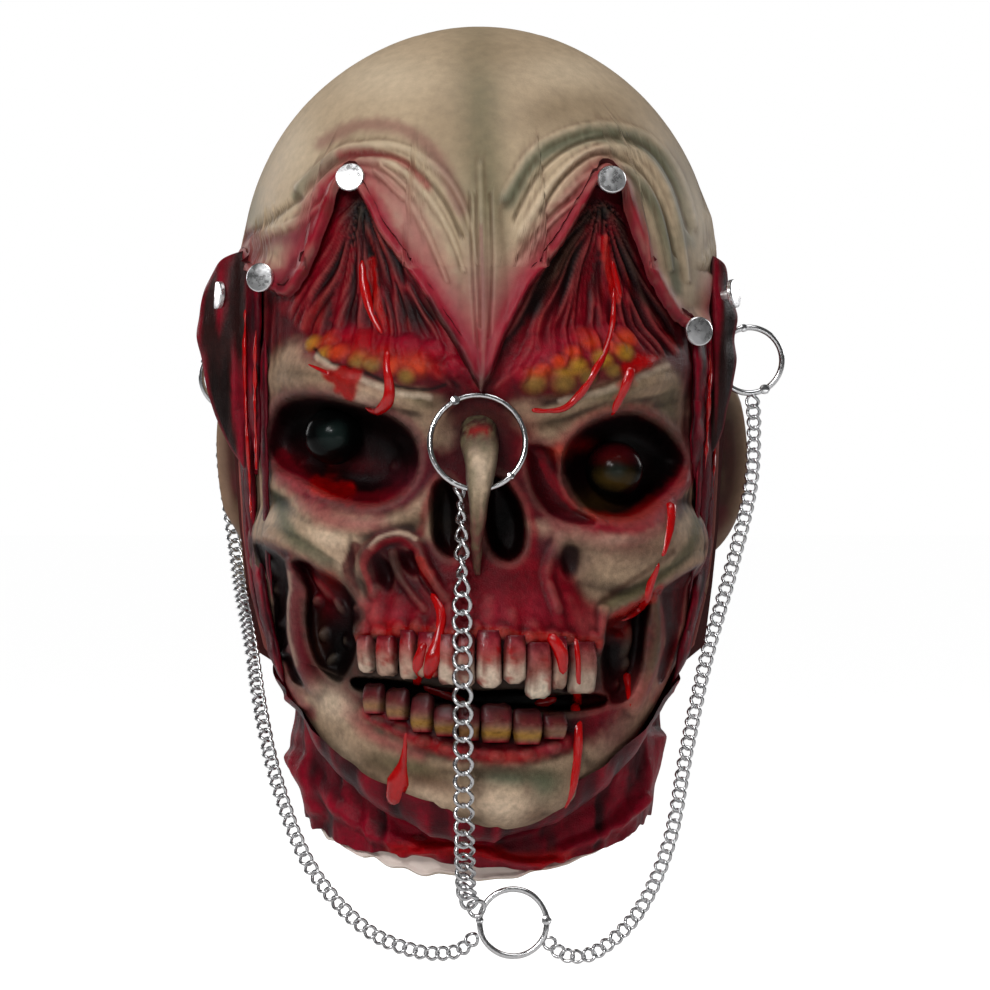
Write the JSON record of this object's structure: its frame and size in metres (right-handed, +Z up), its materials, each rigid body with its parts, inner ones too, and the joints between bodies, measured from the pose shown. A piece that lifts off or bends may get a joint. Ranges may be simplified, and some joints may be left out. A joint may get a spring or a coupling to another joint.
{
  "type": "latex horror mask",
  "caption": "Hollow overhead latex horror mask: a bald skin hood peeled back over a bare red skull face, with hinged chrome rings, curb chains and flat-headed nails.",
  "frame": {"origin": "the highest point inside the crown, where the mask sits on a head", "axes": "+Z up, the face looks along -Y, +X is the wearer's left"},
  "size_m": [0.2567, 0.2487, 0.4004],
  "materials": {
    "painted_latex": "satin painted latex with glossy wet red",
    "chrome_wire": "polished plated wire",
    "curb_chain": "polished plated links",
    "nail_steel": "bright flat heads"
  },
  "bodies": {
    "root": {"mask_shell": "painted_latex", "nose_ring": "chrome_wire", "left_ear_ring": "chrome_wire", "right_ear_ring": "chrome_wire", "gather_ring": "chrome_wire", "nose_chain": "curb_chain", "left_chain": "curb_chain", "right_chain": "curb_chain", "brow_nail_left": "nail_steel", "brow_nail_right": "nail_steel", "temple_nail_left": "nail_steel", "temple_nail_right": "nail_steel", "flap_nail_left": "nail_steel", "flap_nail_right": "nail_steel"}
  },
  "joints": []
}
